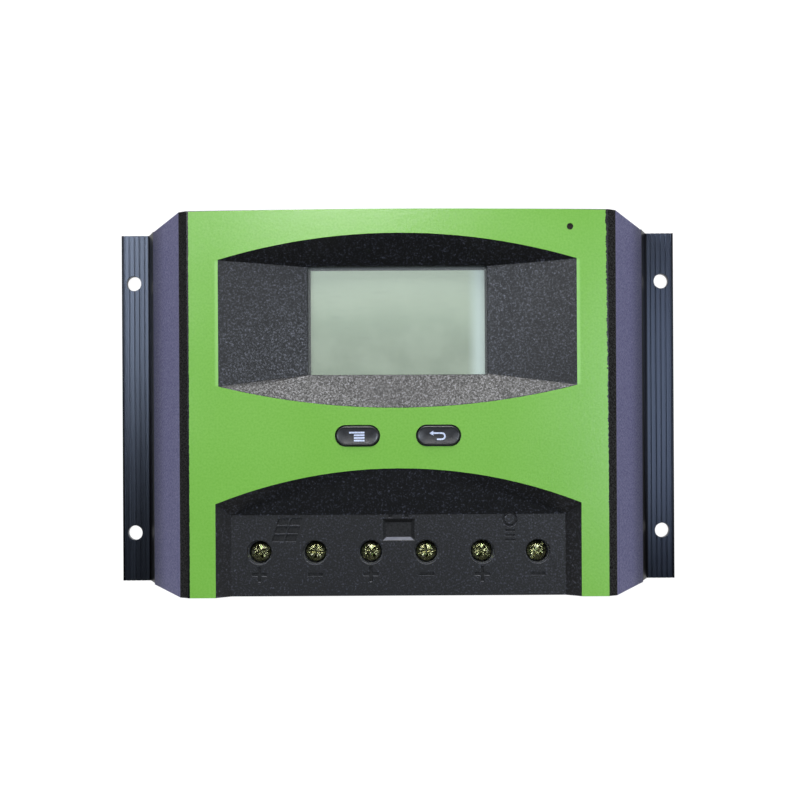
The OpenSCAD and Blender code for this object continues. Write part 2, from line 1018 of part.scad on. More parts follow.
// Round wire bridges that carry the load current
module current_shunt() {
    color("#b9976a")
        for (x = shunt_spots) {
            for (y = [-1, 1])
                rod(shunt_d, [x, shunt_y + y * (shunt_l - shunt_d) / 2], main_face_z, main_face_z + shunt_h);
            translate([x, shunt_y, main_face_z + shunt_h - shunt_d / 2])
                rotate([90, 0, 0])
                    cylinder(d = shunt_d, h = shunt_l - shunt_d, center = true);
        }
}

module driver_chips() {
    color("#26262a")
        for (y = chip_spots) {
            block([chip_l, chip_w, chip_h], [chip_x, y], main_face_z);
            for (i = [-1.5:1.5])
                block([chip_l + 2 * chip_lead_l, chip_lead_w, chip_lead_w],
                      [chip_x, y + i * chip_lead_pitch], main_face_z);
        }
}

module surge_diodes() {
    color("#303034")
        for (spot = diode_spots)
            translate([spot[0], spot[1], main_face_z + diode_d / 2])
                rotate([0, 90, 0]) {
                    cylinder(d = diode_d, h = diode_l, center = true);
                    cylinder(d = diode_lead_d, h = diode_l + diode_d, center = true);
                }
}

module supply_inductor() {
    at = [inductor_x, inductor_y];
    color("#3c3c40") {
        rod(inductor_d, at, main_face_z, main_face_z + inductor_rim);
        rod(inductor_core_d, at, main_face_z, main_face_z + inductor_h);
        rod(inductor_d - inductor_rim, at, main_face_z + inductor_rim, main_face_z + inductor_h - inductor_rim);
        rod(inductor_d, at, main_face_z + inductor_h - inductor_rim, main_face_z + inductor_h);
    }
}

// ---------------------------------------------------------------- what is drawn

heatsink_base();
front_cover();
face_paint();
cover_screws();
lcd_window();
lcd_glass();
lcd_backlight();
lcd_holder();
lcd_pins();
display_board();
display_board_screws();
control_chip();
menu_button();
menu_plunger();
menu_switch();
return_button();
return_plunger();
return_switch();
light_pipe();
status_led();
main_board();
main_board_screws();
board_spacers();
board_header();
board_socket();
terminal_block();
terminal_busbars();
terminal_screw(0);  // terminal_screw_1
terminal_screw(1);  // terminal_screw_2
terminal_screw(2);  // terminal_screw_3
terminal_screw(3);  // terminal_screw_4
terminal_screw(4);  // terminal_screw_5
terminal_screw(5);  // terminal_screw_6
terminal_cage(0);  // terminal_cage_1
terminal_cage(1);  // terminal_cage_2
terminal_cage(2);  // terminal_cage_3
terminal_cage(3);  // terminal_cage_4
terminal_cage(4);  // terminal_cage_5
terminal_cage(5);  // terminal_cage_6
mosfets();
mosfet_insulators();
mosfet_screws();
temperature_sensor();
bulk_capacitors();
current_shunt();
driver_chips();
surge_diodes();
supply_inductor();
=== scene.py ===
"""Looks of the charge controller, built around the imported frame.

Everything is in metres in the row frame: the device lies on its back, +Y is its top and
+Z comes out of the display. MM turns millimetres into metres.
"""

import json
import math

import bmesh
import bpy
from mathutils import Matrix, Vector


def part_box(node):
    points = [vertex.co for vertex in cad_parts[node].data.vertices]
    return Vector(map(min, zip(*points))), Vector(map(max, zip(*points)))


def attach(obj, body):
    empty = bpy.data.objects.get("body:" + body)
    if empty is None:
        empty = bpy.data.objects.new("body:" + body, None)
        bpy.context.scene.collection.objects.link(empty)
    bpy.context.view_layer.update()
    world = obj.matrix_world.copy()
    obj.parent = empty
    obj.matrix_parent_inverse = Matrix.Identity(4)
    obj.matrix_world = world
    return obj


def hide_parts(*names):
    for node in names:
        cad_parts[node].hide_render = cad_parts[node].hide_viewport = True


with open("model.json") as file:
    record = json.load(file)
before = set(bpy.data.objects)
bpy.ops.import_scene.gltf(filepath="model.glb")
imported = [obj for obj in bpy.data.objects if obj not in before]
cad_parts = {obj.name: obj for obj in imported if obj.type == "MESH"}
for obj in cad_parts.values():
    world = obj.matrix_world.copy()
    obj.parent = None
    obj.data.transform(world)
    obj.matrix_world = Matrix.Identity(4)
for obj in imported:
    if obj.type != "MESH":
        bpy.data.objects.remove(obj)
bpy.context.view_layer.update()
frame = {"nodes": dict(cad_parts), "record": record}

MM = 0.001
NODES = frame["nodes"]
RECORD = frame["record"]

# ------------------------------------------------------------------ places read from the frame

FRONT_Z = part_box("face_paint")[1].z
BAY_DEPTH = 4.2 * MM
BAY_FLOOR_Z = FRONT_Z - BAY_DEPTH

# Marks engraved in the bay's floor: all lie below this Y, and none is deeper than this
MARKS_TOP_Y = -30 * MM
MARKS_DEPTH = 1.0 * MM

# Distances from the middle plane across X
SHOULDER_X = 64.9 * MM
SKIRT_SHADE_X = (75.0 * MM, 82.0 * MM)
RECESS_X = 55.3 * MM
PAINT_END_LEFT = 64.4 * MM
PAINT_END_RIGHT = 64.75 * MM
FLANGE_BEND_X = (81.8 * MM, 86.3 * MM)
FLANGE_EDGE_X = 94.4 * MM

# Lower and upper end of the display recess's upright edges
RECESS_Y = (5.0 * MM, 44.6 * MM)


def middle(node):
    """Middle of a CAD node's box."""
    low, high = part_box(node)
    return (low + high) / 2


# ------------------------------------------------------------------ colours and material nodes


def srgb(red, green, blue):
    """Linear RGBA of a colour given on the 0 to 255 screen scale."""
    def linear(value):
        share = value / 255
        if share <= 0.04045:
            return share / 12.92
        return ((share + 0.055) / 1.055) ** 2.4
    return (linear(red), linear(green), linear(blue), 1.0)


def grey(value):
    return (value, value, value, 1.0)


class Surface:
    """Builds one procedural material on a Principled shader, with short names for its nodes."""

    def __init__(self, name, colour=None, roughness=0.5, metallic=0.0, **constants):
        self.material = bpy.data.materials.new(name)
        self.material.use_nodes = True
        self.tree = self.material.node_tree
        self.shader = self.tree.nodes["Principled BSDF"]
        self.place = self.node("ShaderNodeTexCoord").outputs["Object"]
        self.set("Roughness", roughness)
        self.set("Metallic", metallic)
        if colour is not None:
            self.set("Base Color", colour)
        for key, value in constants.items():
            self.set(key.replace("_", " "), value)

    def set(self, key, value):
        """Sets a shader input to a number, a colour or another node's output."""
        self.feed(self.shader.inputs[key], value)

    def feed(self, socket, value):
        if isinstance(value, bpy.types.NodeSocket):
            self.tree.links.new(value, socket)
        elif value is not None:
            socket.default_value = value

    def node(self, kind, **settings):
        made = self.tree.nodes.new(kind)
        for key, value in settings.items():
            setattr(made, key, value)
        return made

    def maths(self, operation, first, second=None, clamp=False):
        made = self.node("ShaderNodeMath", operation=operation, use_clamp=clamp)
        self.feed(made.inputs[0], first)
        self.feed(made.inputs[1], second)
        return made.outputs[0]

    def times(self, first, *others):
        """Product of values."""
        for value in others:
            first = self.maths("MULTIPLY", first, value)
        return first

    def size(self, value):
        return self.maths("ABSOLUTE", value)

    def stretched(self, scale):
        """Object place multiplied by a vector, so that a pattern can run long along one axis."""
        made = self.node("ShaderNodeVectorMath", operation="MULTIPLY")
        self.feed(made.inputs[0], self.place)
        made.inputs[1].default_value = scale
        return made.outputs[0]

    def noise(self, scale, detail=2.0, roughness=0.5, stretch=None, distortion=0.0):
        made = self.node("ShaderNodeTexNoise")
        place = self.place if stretch is None else self.stretched(stretch)
        self.feed(made.inputs["Vector"], place)
        made.inputs["Scale"].default_value = scale
        made.inputs["Detail"].default_value = detail
        made.inputs["Roughness"].default_value = roughness
        made.inputs["Distortion"].default_value = distortion
        return made.outputs["Fac"]

    def cells(self, scale, feature="F1"):
        made = self.node("ShaderNodeTexVoronoi", feature=feature)
        self.feed(made.inputs["Vector"], self.place)
        made.inputs["Scale"].default_value = scale
        return made.outputs["Distance"]

    def span(self, value, low, high, to_low=0.0, to_high=1.0):
        """Maps low..high smoothly to to_low..to_high and holds it outside."""
        made = self.node("ShaderNodeMapRange", interpolation_type="SMOOTHSTEP", clamp=True)
        for index, number in enumerate((value, low, high, to_low, to_high)):
            self.feed(made.inputs[index], number)
        return made.outputs[0]

    def ramp(self, value, *stops):
        """Colour ramp through (place, colour) stops."""
        made = self.node("ShaderNodeValToRGB")
        self.feed(made.inputs[0], value)
        elements = made.color_ramp.elements
        while len(elements) < len(stops):
            elements.new(1.0)
        for element, (position, colour) in zip(elements, stops):
            element.position = position
            element.color = colour
        return made.outputs[0]

    def mix(self, share, first, second):
        made = self.node("ShaderNodeMix", data_type="RGBA", blend_type="MIX")
        self.feed(made.inputs[0], share)
        self.feed(made.inputs[6], first)
        self.feed(made.inputs[7], second)
        return made.outputs[2]

    def axis(self, index):
        """X, Y or Z of the object place."""
        made = self.node("ShaderNodeSeparateXYZ")
        self.feed(made.inputs[0], self.place)
        return made.outputs[index]

    def normal_axis(self, index):
        """X, Y or Z of the surface's own direction."""
        made = self.node("ShaderNodeSeparateXYZ")
        self.feed(made.inputs[0], self.node("ShaderNodeNewGeometry").outputs["Normal"])
        return made.outputs[index]

    def bump(self, height, distance, strength):
        """Sets the shader's bump; distance is its height in metres."""
        made = self.node("ShaderNodeBump")
        made.inputs["Strength"].default_value = strength
        made.inputs["Distance"].default_value = distance
        self.feed(made.inputs["Height"], height)
        self.set("Normal", made.outputs[0])


# ------------------------------------------------------------------ materials, one function each


def black_abs():
    """Spark-eroded black ABS: grain whose pale spots are painted glints, plain bevels held
    near-black as painted shade, and a dull slate violet on the outer sides that is a painted
    reflection of the lights.

    The engraved marks have dark floors, a painted shade, and pale lower walls, a painted highlight.
    """
    s = Surface("black_abs", IOR=1.39)
    grain = s.noise(1750, 4, 0.7)
    across, height = s.size(s.axis(0)), s.axis(2)
    # Painted glints: the pale top stop (78, 79, 87) of the grain stands in for facets catching the
    # light.
    tone = s.ramp(grain, (0.34, srgb(3, 3, 3)), (0.54, srgb(4, 4, 4)), (0.70, srgb(78, 79, 87)))
    deepest = BAY_FLOOR_Z - MARKS_DEPTH
    sunk = s.times(
        s.span(height, BAY_FLOOR_Z - 0.05 * MM, BAY_FLOOR_Z - 0.15 * MM),
        s.span(height, deepest - 0.1 * MM, deepest),
        s.span(s.axis(1), MARKS_TOP_Y, MARKS_TOP_Y - 1 * MM),
    )
    # Painted shade darkens the engraved floors (2, 2, 2); a painted highlight makes their
    # upward-facing lower walls pale (104, 105, 114).
    rim = s.times(sunk, s.span(s.normal_axis(1), 0.35, 0.6), 0.7)
    tone = s.mix(rim, s.mix(sunk, tone, srgb(2, 2, 2)), srgb(104, 105, 114))
    # Painted reflection: the slate violet on the steep outer sides stands in for the lights they
    # mirror; towards their foot it is made darker as painted shade.
    violet = s.ramp(grain, (0.3, srgb(52, 51, 86)), (0.7, srgb(84, 82, 118)))
    violet = s.mix(s.span(across, *SKIRT_SHADE_X, 0.0, 0.8), violet, srgb(40, 40, 64))
    steep = s.span(s.size(s.normal_axis(0)), 0.7, 0.85)
    end_wall_off = s.span(s.size(s.normal_axis(1)), 0.8, 0.6)
    outer = s.times(s.span(across, SHOULDER_X, SHOULDER_X + 0.2 * MM), end_wall_off)
    side = s.times(steep, outer)
    # The shoulder bevels beyond SHOULDER_X are the black plastic held plain near-black (3, 3, 3),
    # darker than the grain around them as painted shade.
    s.set("Base Color", s.mix(side, s.mix(outer, tone, srgb(3, 3, 3)), violet))
    gloss = s.maths("ADD", s.span(grain, 0.38, 0.62, 0.56, 0.26), s.times(outer, -0.16))
    gloss = s.maths("ADD", gloss, s.times(sunk, 0.2))
    s.set("Roughness", s.maths("ADD", gloss, s.times(side, 0.46), clamp=True))
    s.bump(grain, 0.00005, 0.6)
    return s.material


def green_paint():
    """Satin green coat with faint orange peel and a painted highlight along the recess's upright
    edges.

    Its masked outer edge is ragged and shows the black below.
    """
    s = Surface("green_paint", IOR=1.45)
    mottle = s.noise(45, 4)
    speck = s.noise(1500, 2)
    x, y = s.axis(0), s.axis(1)
    colour = s.ramp(mottle, (0.25, srgb(106, 158, 63)), (0.75, srgb(110, 161, 67)))
    colour = s.mix(s.span(speck, 0.3, 0.75, 0.0, 0.5), colour, srgb(92, 148, 46))
    bottom, top = RECESS_Y
    # Painted highlight: a pale line (160, 206, 130) along the recess's upright edges, where the
    # rounded paint edge catches the light.
    edge_highlight = s.times(
        s.span(s.size(x), RECESS_X + 1.5 * MM, RECESS_X + 0.5 * MM),
        s.span(y, bottom, bottom + 1 * MM),
        s.span(y, top, top - 1 * MM),
        s.span(s.size(x), RECESS_X, RECESS_X + 0.2 * MM),
        0.3,
    )
    colour = s.mix(edge_highlight, colour, srgb(160, 206, 130))
    rough_edge = s.maths("ADD", s.noise(520, 3, 0.7), speck)
    ragged = s.times(s.maths("SUBTRACT", rough_edge, 1.0), 0.9 * MM)
    slant = s.times(y, 0.0078)
    right = s.maths("ADD", s.maths("ADD", x, slant), ragged)
    left = s.maths("ADD", s.times(x, -1), s.times(ragged, 0.3))
    bare = s.maths(
        "MAXIMUM",
        s.span(right, PAINT_END_RIGHT, PAINT_END_RIGHT + 0.15 * MM),
        s.span(left, PAINT_END_LEFT, PAINT_END_LEFT + 0.1 * MM),
    )
    s.set("Base Color", s.mix(bare, colour, srgb(6, 6, 7)))
    s.set("Roughness", s.span(mottle, 0.3, 0.7, 0.21, 0.24))
    s.bump(s.noise(850, 3, 0.6), 0.00004, 0.7)
    return s.material


def anodised_aluminium():
    """Dark slate anodised extrusion: die lines along Y spread light across; the bends and outer
    edges are painted dark and the +X half darker, as painted shade.
    """
    s = Surface("anodised_aluminium", metallic=0.95, Anisotropic=0.9)
    across = s.node("ShaderNodeTangent", direction_type="RADIAL", axis="Y")
    s.set("Tangent", across.outputs[0])
    lines = s.noise(1, 2, 0.5, stretch=(1100, 2, 1100))
    side = s.size(s.axis(0))
    colour = s.mix(s.span(lines, 0.35, 0.65), srgb(52, 55, 62), srgb(62, 66, 74))
    # Painted shade: the +X half is made darker (42, 46, 55) than the -X half.
    colour = s.mix(s.span(s.axis(0), -20 * MM, 20 * MM), colour, srgb(42, 46, 55))
    inner, outer = FLANGE_BEND_X
    # Painted shade: the flange bends and outer edges are made near-black (14, 15, 18).
    bend = s.times(s.span(side, outer, outer - 0.3 * MM), s.span(side, inner, inner + 0.5 * MM))
    edge = s.span(side, FLANGE_EDGE_X, FLANGE_EDGE_X + 0.3 * MM)
    s.set("Base Color", s.mix(s.maths("MAXIMUM", bend, edge), colour, srgb(14, 15, 18)))
    s.set("Roughness", s.span(lines, 0.3, 0.7, 0.28, 0.33))
    return s.material


def steel(name, colour, dark, roughness):
    """Plated steel with fine scratches and dull spots."""
    s = Surface(name, metallic=1.0)
    scratch = s.noise(1, 3, stretch=(2200, 275, 2200))
    spots = s.noise(900, 3)
    s.set("Base Color", s.mix(s.span(spots, 0.42, 0.68), colour, dark))
    s.set("Roughness", s.span(scratch, 0.3, 0.7, roughness - 0.08, roughness + 0.12))
    s.bump(s.noise(1600, 3), 0.00003, 0.5)
    return s.material


def terminal_zinc():
    """Yellow passivated zinc: its colour drifts between straw, green and rose."""
    s = Surface("terminal_zinc", metallic=1.0)
    drift = s.noise(900, 3, 0.6, distortion=0.6)
    colour = s.ramp(
        drift,
        (0.30, srgb(72, 118, 42)), (0.44, srgb(176, 172, 130)),
        (0.56, srgb(120, 124, 74)), (0.66, srgb(206, 202, 176)), (0.76, srgb(142, 98, 80)),
    )
    s.set("Base Color", colour)
    s.set("Roughness", s.span(drift, 0.3, 0.7, 0.10, 0.22))
    s.bump(s.noise(2200, 2), 0.00006, 0.8)
    return s.material


def plastic(name, colour, light, roughness, grain=1800, depth=0.00003, **constants):
    """Moulded plastic with a fine grain and a little tone drift."""
    s = Surface(name, **constants)
    fine = s.noise(grain, 3)
    s.set("Base Color", s.mix(s.span(fine, 0.3, 0.7), colour, light))
    patches = s.noise(grain / 6, 2)
    s.set("Roughness", s.span(patches, 0.3, 0.7, roughness - 0.05, roughness + 0.07))
    s.bump(fine, depth, 0.5)
    return s.material


def display_glass():
    """Reflective liquid crystal cell: pale grey green, painted lighter high up and darker low down,
    with a painted shadow of the window's edge along its left, right and top.
    """
    s = Surface("display_glass", roughness=0.35, IOR=1.45)
    low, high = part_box("lcd_window")
    rise = s.span(s.axis(1), low.y, high.y)
    cloud = s.noise(90, 4)
    fleck = s.noise(2400, 2)
    # Painted light and shade: the colour runs from darker low down to lighter high up.
    colour = s.ramp(
        rise, (0.1, srgb(105, 117, 92)), (0.5, srgb(127, 141, 115)), (0.9, srgb(161, 173, 147)),
    )
    colour = s.mix(s.times(s.span(cloud, 0.35, 0.7), 0.2), colour, srgb(166, 178, 152))
    colour = s.mix(s.times(fleck, 0.25), colour, srgb(124, 138, 114))
    # A paler band (176, 190, 182) near the right edge.
    pale_right_band = s.span(s.axis(0), high.x - 8.0 * MM, high.x - 3.6 * MM)
    colour = s.mix(s.times(pale_right_band, 0.7), colour, srgb(176, 190, 182))
    # Painted shadow: a near-black border (10, 11, 11) along the left, right and top, where the
    # window's edge shades the cell.
    left = s.span(s.axis(0), low.x + 2.2 * MM, low.x + 2.4 * MM, 1.0, 0.0)
    right = s.span(s.axis(0), high.x - 2.2 * MM, high.x - 2.0 * MM)
    top = s.span(s.axis(1), high.y - 2.65 * MM, high.y - 2.4 * MM)
    edge_shadow = s.maths("MAXIMUM", s.maths("MAXIMUM", left, right), top)
    s.set("Base Color", s.mix(s.times(edge_shadow, 0.95), colour, srgb(10, 11, 11)))
    s.bump(cloud, 0.00003, 0.3)
    return s.material


def clear_window():
    """Thin clear window: mostly see-through, with a soft gloss and faint wiping marks."""
    s = Surface("clear_window", colour=srgb(236, 242, 240), IOR=1.49)
    wipe = s.noise(1, 3, stretch=(120, 900, 1))
    s.set("Alpha", s.span(wipe, 0.55, 0.8, 0.05, 0.07))
    s.set("Roughness", s.span(wipe, 0.3, 0.8, 0.05, 0.16))
    return s.material


def light_pipe():
    """Tinted clear rod."""
    s = Surface("pipe_plastic", roughness=0.12, IOR=1.49)
    s.set("Base Color", s.mix(s.noise(1200), srgb(30, 26, 26), srgb(52, 44, 42)))
    return s.material


def circuit_board():
    """Solder mask over tracks, with tinned pads."""
    s = Surface("circuit_board", IOR=1.5, Coat_Weight=0.4)
    tracks = s.cells(240, "DISTANCE_TO_EDGE")
    pads = s.cells(420)
    mask = s.mix(s.span(tracks, 0.05, 0.09), srgb(36, 110, 62), srgb(22, 82, 44))
    pad = s.span(pads, 0.16, 0.12)
    s.set("Base Color", s.mix(pad, mask, srgb(196, 196, 188)))
    s.set("Metallic", pad)
    s.set("Roughness", s.span(tracks, 0.0, 0.1, 0.3, 0.42))
    s.bump(s.span(tracks, 0.04, 0.09, 1.0, 0.0), 0.00004, 0.8)
    return s.material


def capacitor_sleeve():
    """Shrunk dark blue sleeve with paler printed patches."""
    s = Surface("capacitor_sleeve", roughness=0.3, IOR=1.5)
    wrinkle = s.noise(1, 3, stretch=(500, 500, 90))
    stripe = s.span(s.noise(35, 0), 0.62, 0.64)
    blue = s.mix(wrinkle, srgb(24, 30, 58), srgb(38, 46, 84))
    s.set("Base Color", s.mix(stripe, blue, srgb(150, 160, 172)))
    s.bump(wrinkle, 0.00008, 0.4)
    return s.material


def print_ink():
    """Pale bluish ink of the button marks, thinner in spots."""
    s = Surface("print_ink", roughness=0.5)
    thin = s.span(s.noise(2800, 3), 0.35, 0.7)
    s.set("Base Color", s.mix(thin, srgb(190, 198, 216), srgb(150, 160, 184)))
    return s.material


# Slot, colour, worn colour and roughness
STEELS = (
    ("zinc_steel", (206, 206, 202), (150, 150, 148), 0.28),
    ("tinned_metal", (214, 214, 208), (168, 168, 164), 0.3),
    ("brass_spacer", (206, 172, 96), (172, 138, 74), 0.3),
    ("current_bar", (210, 178, 104), (178, 142, 82), 0.32),
    ("cage_steel", (198, 198, 186), (150, 150, 142), 0.34),
    ("shunt_wire", (190, 160, 124), (150, 124, 96), 0.35),
)

# Slot, colour, colour of the paler grain and roughness
PLASTICS = (
    ("white_diffuser", (222, 222, 216), (236, 236, 232), 0.6),
    ("black_moulding", (26, 26, 28), (40, 40, 43), 0.4),
    ("chip_epoxy", (30, 30, 32), (48, 48, 50), 0.55),
    ("switch_shell", (54, 54, 58), (70, 70, 74), 0.5),
    ("led_body", (226, 220, 186), (236, 232, 206), 0.25),
    ("terminal_plastic", (36, 37, 40), (52, 53, 57), 0.5),
    ("silicone_pad", (150, 154, 160), (172, 176, 182), 0.7),
    ("ferrite", (44, 44, 46), (66, 66, 70), 0.6),
)


def button_plastic():
    """Glossy dark plastic with a very fine grain."""
    colour, light = srgb(20, 20, 22), srgb(28, 28, 30)
    return plastic("button_plastic", colour, light, 0.34, grain=2600, depth=0.000005, IOR=1.5)


def materials():
    """One material for each slot of the record."""
    made = {
        "anodised_aluminium": anodised_aluminium(),
        "black_abs": black_abs(),
        "green_paint": green_paint(),
        "terminal_zinc": terminal_zinc(),
        "clear_window": clear_window(),
        "display_glass": display_glass(),
        "circuit_board": circuit_board(),
        "button_plastic": button_plastic(),
        "pipe_plastic": light_pipe(),
        "capacitor_sleeve": capacitor_sleeve(),
    }
    for name, colour, worn, roughness in STEELS:
        made[name] = steel(name, srgb(*colour), srgb(*worn), roughness)
    for name, colour, light, roughness in PLASTICS:
        made[name] = plastic(name, srgb(*colour), srgb(*light), roughness)
    return made


PAINTS = materials()
INK = print_ink()

# Width in millimetres of the softened edges of a node
BEVELS = {
    "front_cover": 0.16, "heatsink_base": 0.12, "face_paint": 0.04,
    "lcd_window": 0.1, "lcd_holder": 0.15, "terminal_block": 0.2,
    "main_board": 0.1, "display_board": 0.1, "board_spacers": 0.2,
}
BEVEL_ANGLE = 28


def dress_cad_nodes():
    """Gives each CAD node its slot's material, and softens the edges of the larger ones."""
    for row in RECORD["subparts"]:
        node = NODES[row["node"]]
        node.data.materials.clear()
        node.data.materials.append(PAINTS[row["material_slot"]])
        if row["node"] in BEVELS:
            weld = node.modifiers.new("weld", "WELD")
            weld.merge_threshold = 0.002 * MM
            bevel = node.modifiers.new("soft_edges", "BEVEL")
            bevel.width = BEVELS[row["node"]] * MM
            bevel.segments = 2
            bevel.limit_method = "ANGLE"
            bevel.angle_limit = math.radians(BEVEL_ANGLE)
            bevel.use_clamp_overlap = False


# ------------------------------------------------------------------ mesh helpers


def piece(name, mesh, body, slot_name, material=None, sharp=35):
    """Makes a shown piece from a bmesh, rides it on a body and gives it its slot's material."""
    bmesh.ops.recalc_face_normals(mesh, faces=mesh.faces)
    data = bpy.data.meshes.new(name)
    mesh.to_mesh(data)
    mesh.free()
    return shown(name, data, body, slot_name, material, sharp)


def shown(name, data, body, slot_name, material=None, sharp=35):
    """Does the same with a finished mesh; edges sharper than sharp degrees stay hard."""
    for face in data.polygons:
        face.use_smooth = True
    data.set_sharp_from_angle(angle=math.radians(sharp))
    data.materials.clear()
    data.materials.append(material or PAINTS[slot_name])
    obj = bpy.data.objects.new(name, data)
    bpy.context.scene.collection.objects.link(obj)
    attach(obj, body)
    return obj


def skin_rings(mesh, rings, cap_last=True):
    """Joins closed rings of equally many points with quads, and caps the ends."""
    made = [[mesh.verts.new(point) for point in ring] for ring in rings]
    for lower, upper in zip(made, made[1:]):
        count = len(lower)
        for i in range(count):
            j = (i + 1) % count
            mesh.faces.new((lower[i], lower[j], upper[j], upper[i]))
    mesh.faces.new(list(reversed(made[0])))
    if cap_last:
        mesh.faces.new(made[-1])


def circle(radius, z, count=64):
    turn = 2 * math.pi / count
    return [(radius * math.cos(i * turn), radius * math.sin(i * turn), z) for i in range(count)]


def stadium(width, height, inset, z, centre, steps=20):
    """Ring of points round an oval with straight sides; z is a number or a function of x and y."""
    straight = (width - height) / 2
    radius = max(height / 2 - inset, 1e-6)
    points = []
    for side in (1, -1):
        for i in range(steps + 1):
            angle = math.pi * (i / steps - 0.5)
            x = side * (straight + radius * math.cos(angle))
            y = side * radius * math.sin(angle)
            points.append((x, y))
    height_of = z if callable(z) else lambda x, y: z
    return [(centre[0] + x, centre[1] + y, height_of(x, y)) for x, y in points]


def cut_with(target, cutters):
    """Returns target's mesh with the cutters' shapes taken out of it."""
    holder = bpy.data.objects.new("cut_target", target)
    bpy.context.scene.collection.objects.link(holder)
    tools = []
    for index, mesh in enumerate(cutters):
        bmesh.ops.recalc_face_normals(mesh, faces=mesh.faces)
        data = bpy.data.meshes.new("cutter")
        mesh.to_mesh(data)
        mesh.free()
        tool = bpy.data.objects.new("cutter", data)
        bpy.context.scene.collection.objects.link(tool)
        tools.append(tool)
        step = holder.modifiers.new(f"cut_{index}", "BOOLEAN")
        step.operation = "DIFFERENCE"
        step.solver = "EXACT"
        step.object = tool
    bpy.context.view_layer.update()
    graph = bpy.context.evaluated_depsgraph_get()
    result = bpy.data.meshes.new_from_object(holder.evaluated_get(graph))
    for obj in (holder, *tools):
        bpy.data.objects.remove(obj)
    return result


# ------------------------------------------------------------------ buttons

BUTTON_DISH = 0.28 * MM
BUTTON_FILLET = 0.45 * MM
FILLET_STEPS = 6
DISH_STEPS = 8

# The retaining flange: how much larger than the cap, how far above its foot, how thick
FLANGE_EXTRA = 2.2 * MM
FLANGE_LIFT = 1.3 * MM
FLANGE_T = 1 * MM

INK_T = 0.025 * MM


def dish_z(top, half_w, half_h):
    """Height function of a button's dished top, by the distance from its middle line."""
    straight = half_w - half_h

    def height(x, y):
        share = math.hypot(max(abs(x) - straight, 0.0), y) / half_h
        return top - BUTTON_DISH * (1 - min(1.0, share * share))

    return height


def button_cap(node):
    """Oval cap in place of the CAD cap: rounded rim, dished top, retaining flange and foot."""
    low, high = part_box(node)
    centre = ((low.x + high.x) / 2, (low.y + high.y) / 2)
    flange_w, flange_h = high.x - low.x, high.y - low.y
    width, height = flange_w - FLANGE_EXTRA, flange_h - FLANGE_EXTRA
    flange_low = low.z + FLANGE_LIFT
    top = dish_z(high.z, width / 2, height / 2)

    def ring(inset, z):
        return stadium(width, height, inset, z, centre)

    rings = [
        ring(0.1 * MM, low.z),
        ring(0, low.z + 0.1 * MM),
        ring(0, high.z - BUTTON_FILLET),
    ]
    for step in range(1, FILLET_STEPS):
        angle = math.pi / 2 * step / FILLET_STEPS
        inset = BUTTON_FILLET * (1 - math.cos(angle))
        rings.append(ring(inset, high.z - BUTTON_FILLET * (1 - math.sin(angle))))
    for step in range(DISH_STEPS + 1):
        inset = BUTTON_FILLET + (height / 2 - BUTTON_FILLET) * step / DISH_STEPS
        rings.append(ring(inset, top))
    mesh = bmesh.new()
    skin_rings(mesh, rings, cap_last=False)
    bmesh.ops.remove_doubles(mesh, verts=mesh.verts, dist=0.004 * MM)
    skin_rings(mesh, [
        stadium(flange_w, flange_h, 0, z, centre) for z in (flange_low, flange_low + FLANGE_T)
    ])
    cap = piece(node + "_cap", mesh, node, "button_plastic")
    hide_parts(node)
    return centre, top


def ink_strip(mesh, points, width, centre, top):
    """Thin printed line along points on a button's dished top."""
    sides = []
    for i, point in enumerate(points):
        before = Vector(points[max(i - 1, 0)])
        after = Vector(points[min(i + 1, len(points) - 1)])
        along = (after - before).normalized()
        across = Vector((-along.y, along.x)) * width / 2
        sides.append((Vector(point) + across, Vector(point) - across))
    rows = []
    for pair in sides:
        row = []
        for spot in pair:
            base = top(spot.x, spot.y)
            for lift in (INK_T, -INK_T):
                at = (centre[0] + spot.x, centre[1] + spot.y, base + lift)
                row.append(mesh.verts.new(at))
        rows.append(row)
    for first, second in zip(rows, rows[1:]):
        for a, b in ((0, 2), (2, 3), (3, 1), (1, 0)):
            mesh.faces.new((first[a], first[b], second[b], second[a]))
    for row in (rows[0], rows[-1]):
        mesh.faces.new((row[0], row[2], row[3], row[1]))


def line(start, end, steps=10):
    """Evenly spaced points from start to end."""
    across, along = end[0] - start[0], end[1] - start[1]
    return [
        (start[0] + across * i / steps, start[1] + along * i / steps) for i in range(steps + 1)
    ]


def list_mark(mesh, centre, top):
    """Four bars that end at the right, the first one longer."""
    right, thickness = 2.15 * MM, 0.52 * MM
    for left, y in ((-2.6, 1.0), (-1.1, 0.18), (-1.1, -0.64), (-1.1, -1.46)):
        ink_strip(mesh, line((left * MM, y * MM), (right, y * MM)), thickness, centre, top)


def return_mark(mesh, centre, top):
    """Arrow that turns back to the left; its head is built from eight upright strips."""
    upper, lower, bend = 0.72 * MM, -1.18 * MM, 1.0 * MM
    shaft_left, tail_left, thickness = -1.7 * MM, -0.5 * MM, 0.5 * MM
    radius, arc_y = (upper - lower) / 2, (upper + lower) / 2
    arc_steps = 12
    arc = []
    for i in range(arc_steps + 1):
        angle = math.pi * i / arc_steps
        arc.append((bend + radius * math.sin(angle), arc_y + radius * math.cos(angle)))
    path = line((shaft_left, upper), (bend, upper))[:-1] + arc
    path += line((bend, lower), (tail_left, lower))[1:]
    ink_strip(mesh, path, thickness, centre, top)
    for i in range(8):
        x = (-2.65 + 0.14 * i) * MM
        half = 0.1 * MM + 0.085 * MM * i
        ink_strip(mesh, line((x, upper - half), (x, upper + half), 4), 0.15 * MM, centre, top)


def buttons():
    for node, mark in (("menu_button", list_mark), ("return_button", return_mark)):
        centre, top = button_cap(node)
        mesh = bmesh.new()
        mark(mesh, centre, top)
        piece(node + "_mark", mesh, node, "button_plastic", INK)


# ------------------------------------------------------------------ screws

